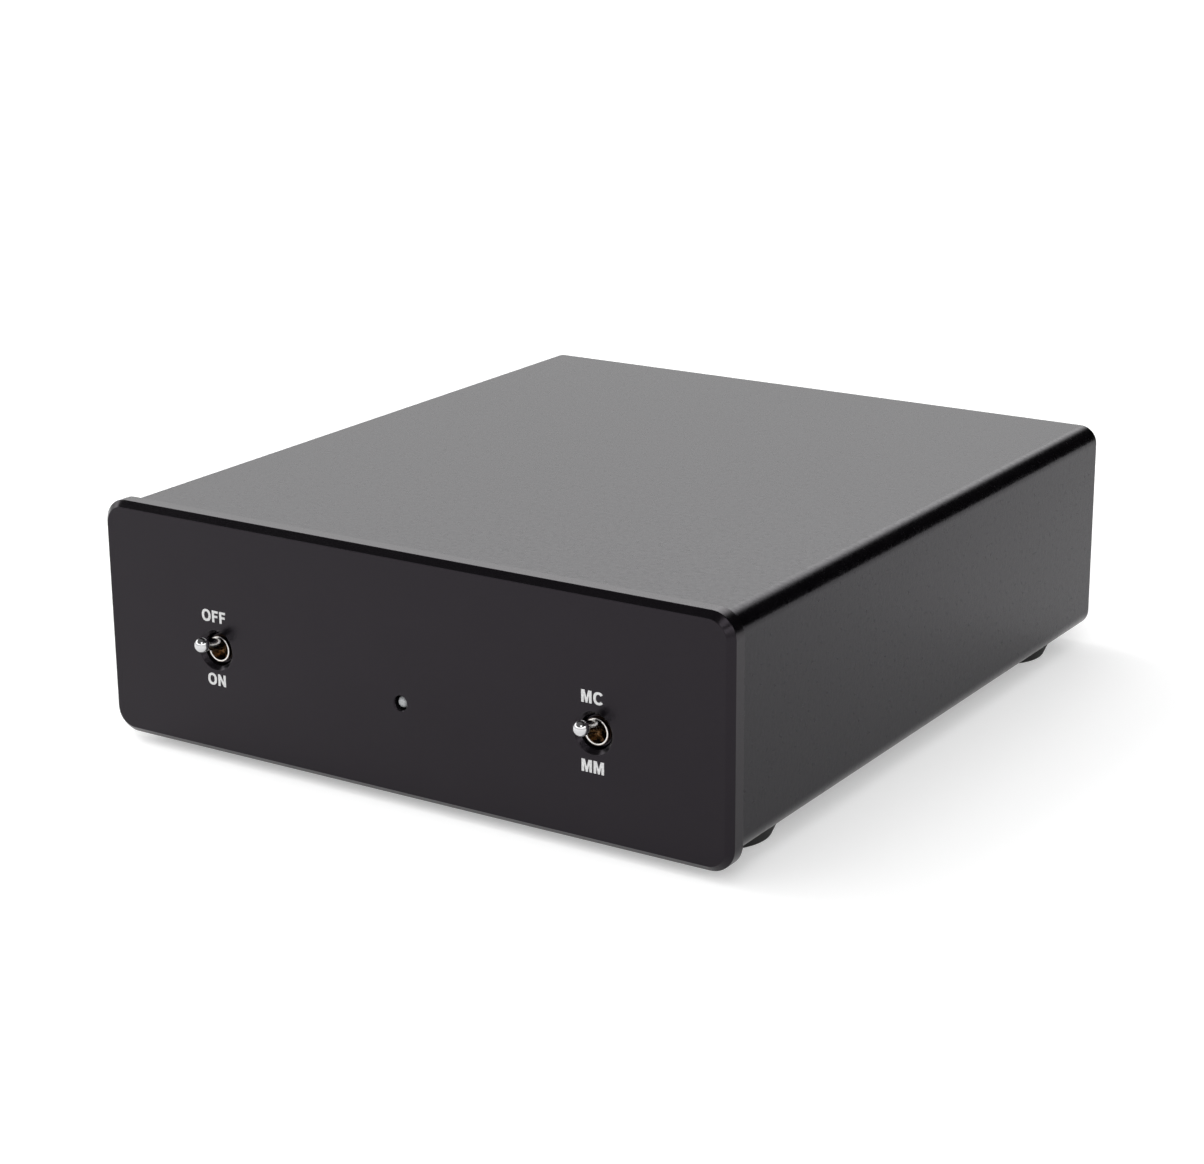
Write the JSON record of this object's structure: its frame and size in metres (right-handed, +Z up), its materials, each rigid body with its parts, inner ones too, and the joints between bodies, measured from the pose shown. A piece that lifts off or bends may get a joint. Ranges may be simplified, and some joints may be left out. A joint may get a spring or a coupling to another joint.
{
  "type": "phono preamp",
  "caption": "Low black metal phono preamp with two toggle switches and an indicator in front, sockets and a ground post behind, on rubber feet.",
  "frame": {"origin": "on the floor, at the middle of the whole length and width", "axes": "X to the right, Y into the box (the front plate faces -Y), Z up"},
  "size_m": [0.1724, 0.2096, 0.0602],
  "materials": {
    "board_green": "solder mask",
    "brass_inside": "turned",
    "chrome_plate": "polished",
    "copper_tin": "tinned",
    "gold_plate": "plated",
    "heat_sink_black": "anodised",
    "lead_black": "insulation",
    "lead_red": "insulation",
    "led_clear": "water clear",
    "panel_anodised": "satin black anodised",
    "plastic_black": "matte",
    "plastic_blue": "gloss",
    "plastic_white": "matte",
    "resistor_body": "lacquer",
    "rubber_black": "matte",
    "sleeve_coat": "fine textured black coat",
    "steel_black": "blackened",
    "steel_zinc": "zinc plated",
    "switch_case": "moulded"
  },
  "bodies": {
    "housing": {"board_screws": "steel_zinc", "board_standoffs": "gold_plate", "cartridge_switch_body": "switch_case", "cartridge_switch_bushing": "brass_inside", "cartridge_switch_front_nut": "steel_black", "cartridge_switch_leads": "lead_red", "cartridge_switch_lock_washer": "steel_zinc", "cartridge_switch_rear_nut": "steel_zinc", "cartridge_switch_terminals": "copper_tin", "chassis_tray": "steel_zinc", "circuit_board": "board_green", "dc_inlet_body": "plastic_black", "dc_inlet_nut": "plastic_black", "dc_inlet_pin": "chrome_plate", "electrolytic_capacitors": "plastic_blue", "enclosure_sleeve": "sleeve_coat", "film_capacitors": "lead_red", "foot_front_left": "rubber_black", "foot_front_right": "rubber_black", "foot_nuts": "steel_zinc", "foot_rear_left": "rubber_black", "foot_rear_right": "rubber_black", "foot_screws": "steel_zinc", "front_panel": "panel_anodised", "front_panel_screws": "steel_zinc", "ground_hex_nuts": "gold_plate", "ground_stud": "gold_plate", "input_left_jack_shell": "gold_plate", "input_right_jack_shell": "gold_plate", "jack_contacts": "gold_plate", "jack_insulators": "plastic_white", "jack_nuts": "steel_zinc", "led_holder": "plastic_black", "led_leads": "copper_tin", "led_lens": "led_clear", "op_amps": "plastic_black", "output_left_jack_shell": "gold_plate", "output_right_jack_shell": "gold_plate", "power_switch_body": "switch_case", "power_switch_bushing": "brass_inside", "power_switch_front_nut": "steel_black", "power_switch_leads": "lead_red", "power_switch_lock_washer": "steel_zinc", "power_switch_rear_nut": "steel_zinc", "power_switch_terminals": "copper_tin", "rear_leads": "lead_black", "rear_panel": "sleeve_coat", "rear_panel_screws": "steel_black", "regulator_heat_sink": "heat_sink_black", "relays": "plastic_white", "resistors": "resistor_body", "switch_connectors": "plastic_white"},
    "power_switch_lever": {"power_switch_lever": "chrome_plate"},
    "power_switch_rocker": {"power_switch_rocker": "copper_tin"},
    "cartridge_switch_lever": {"cartridge_switch_lever": "chrome_plate"},
    "cartridge_switch_rocker": {"cartridge_switch_rocker": "copper_tin"},
    "ground_washer": {"ground_washer": "gold_plate"},
    "ground_thumb_nut": {"ground_thumb_nut": "gold_plate"}
  },
  "joints": [
    {"name": "power_switch_toggle", "type": "hinge", "parent": "housing", "child": "power_switch_lever", "pos_m": [-0.053, -0.09234, 0.0281], "axis": [1, 0, 0], "range_deg": [0, 28]},
    {"name": "power_switch_contact", "type": "hinge", "parent": "housing", "child": "power_switch_rocker", "pos_m": [-0.053, -0.08304, 0.0281], "axis": [1, 0, 0], "range_deg": [-16, 0]},
    {"name": "cartridge_switch_toggle", "type": "hinge", "parent": "housing", "child": "cartridge_switch_lever", "pos_m": [0.052, -0.09234, 0.0281], "axis": [1, 0, 0], "range_deg": [0, 28]},
    {"name": "cartridge_switch_contact", "type": "hinge", "parent": "housing", "child": "cartridge_switch_rocker", "pos_m": [0.052, -0.08304, 0.0281], "axis": [1, 0, 0], "range_deg": [-16, 0]},
    {"name": "ground_nut_travel", "type": "slide", "parent": "housing", "child": "ground_washer", "axis": [0, 1, 0], "range_m": [0, 0.003]},
    {"name": "ground_nut_turn", "type": "hinge", "parent": "ground_washer", "child": "ground_thumb_nut", "pos_m": [-0.02, 0.09676, 0.03355], "axis": [0, 1, 0], "range_deg": [0, 1540]}
  ],
  "couplings": [
    {"joint": "power_switch_contact", "follows": "power_switch_toggle", "ratio": -0.57143},
    {"joint": "cartridge_switch_contact", "follows": "cartridge_switch_toggle", "ratio": -0.57143},
    {"joint": "ground_nut_travel", "follows": "ground_nut_turn", "m_per_rad": 0.00011141}
  ]
}
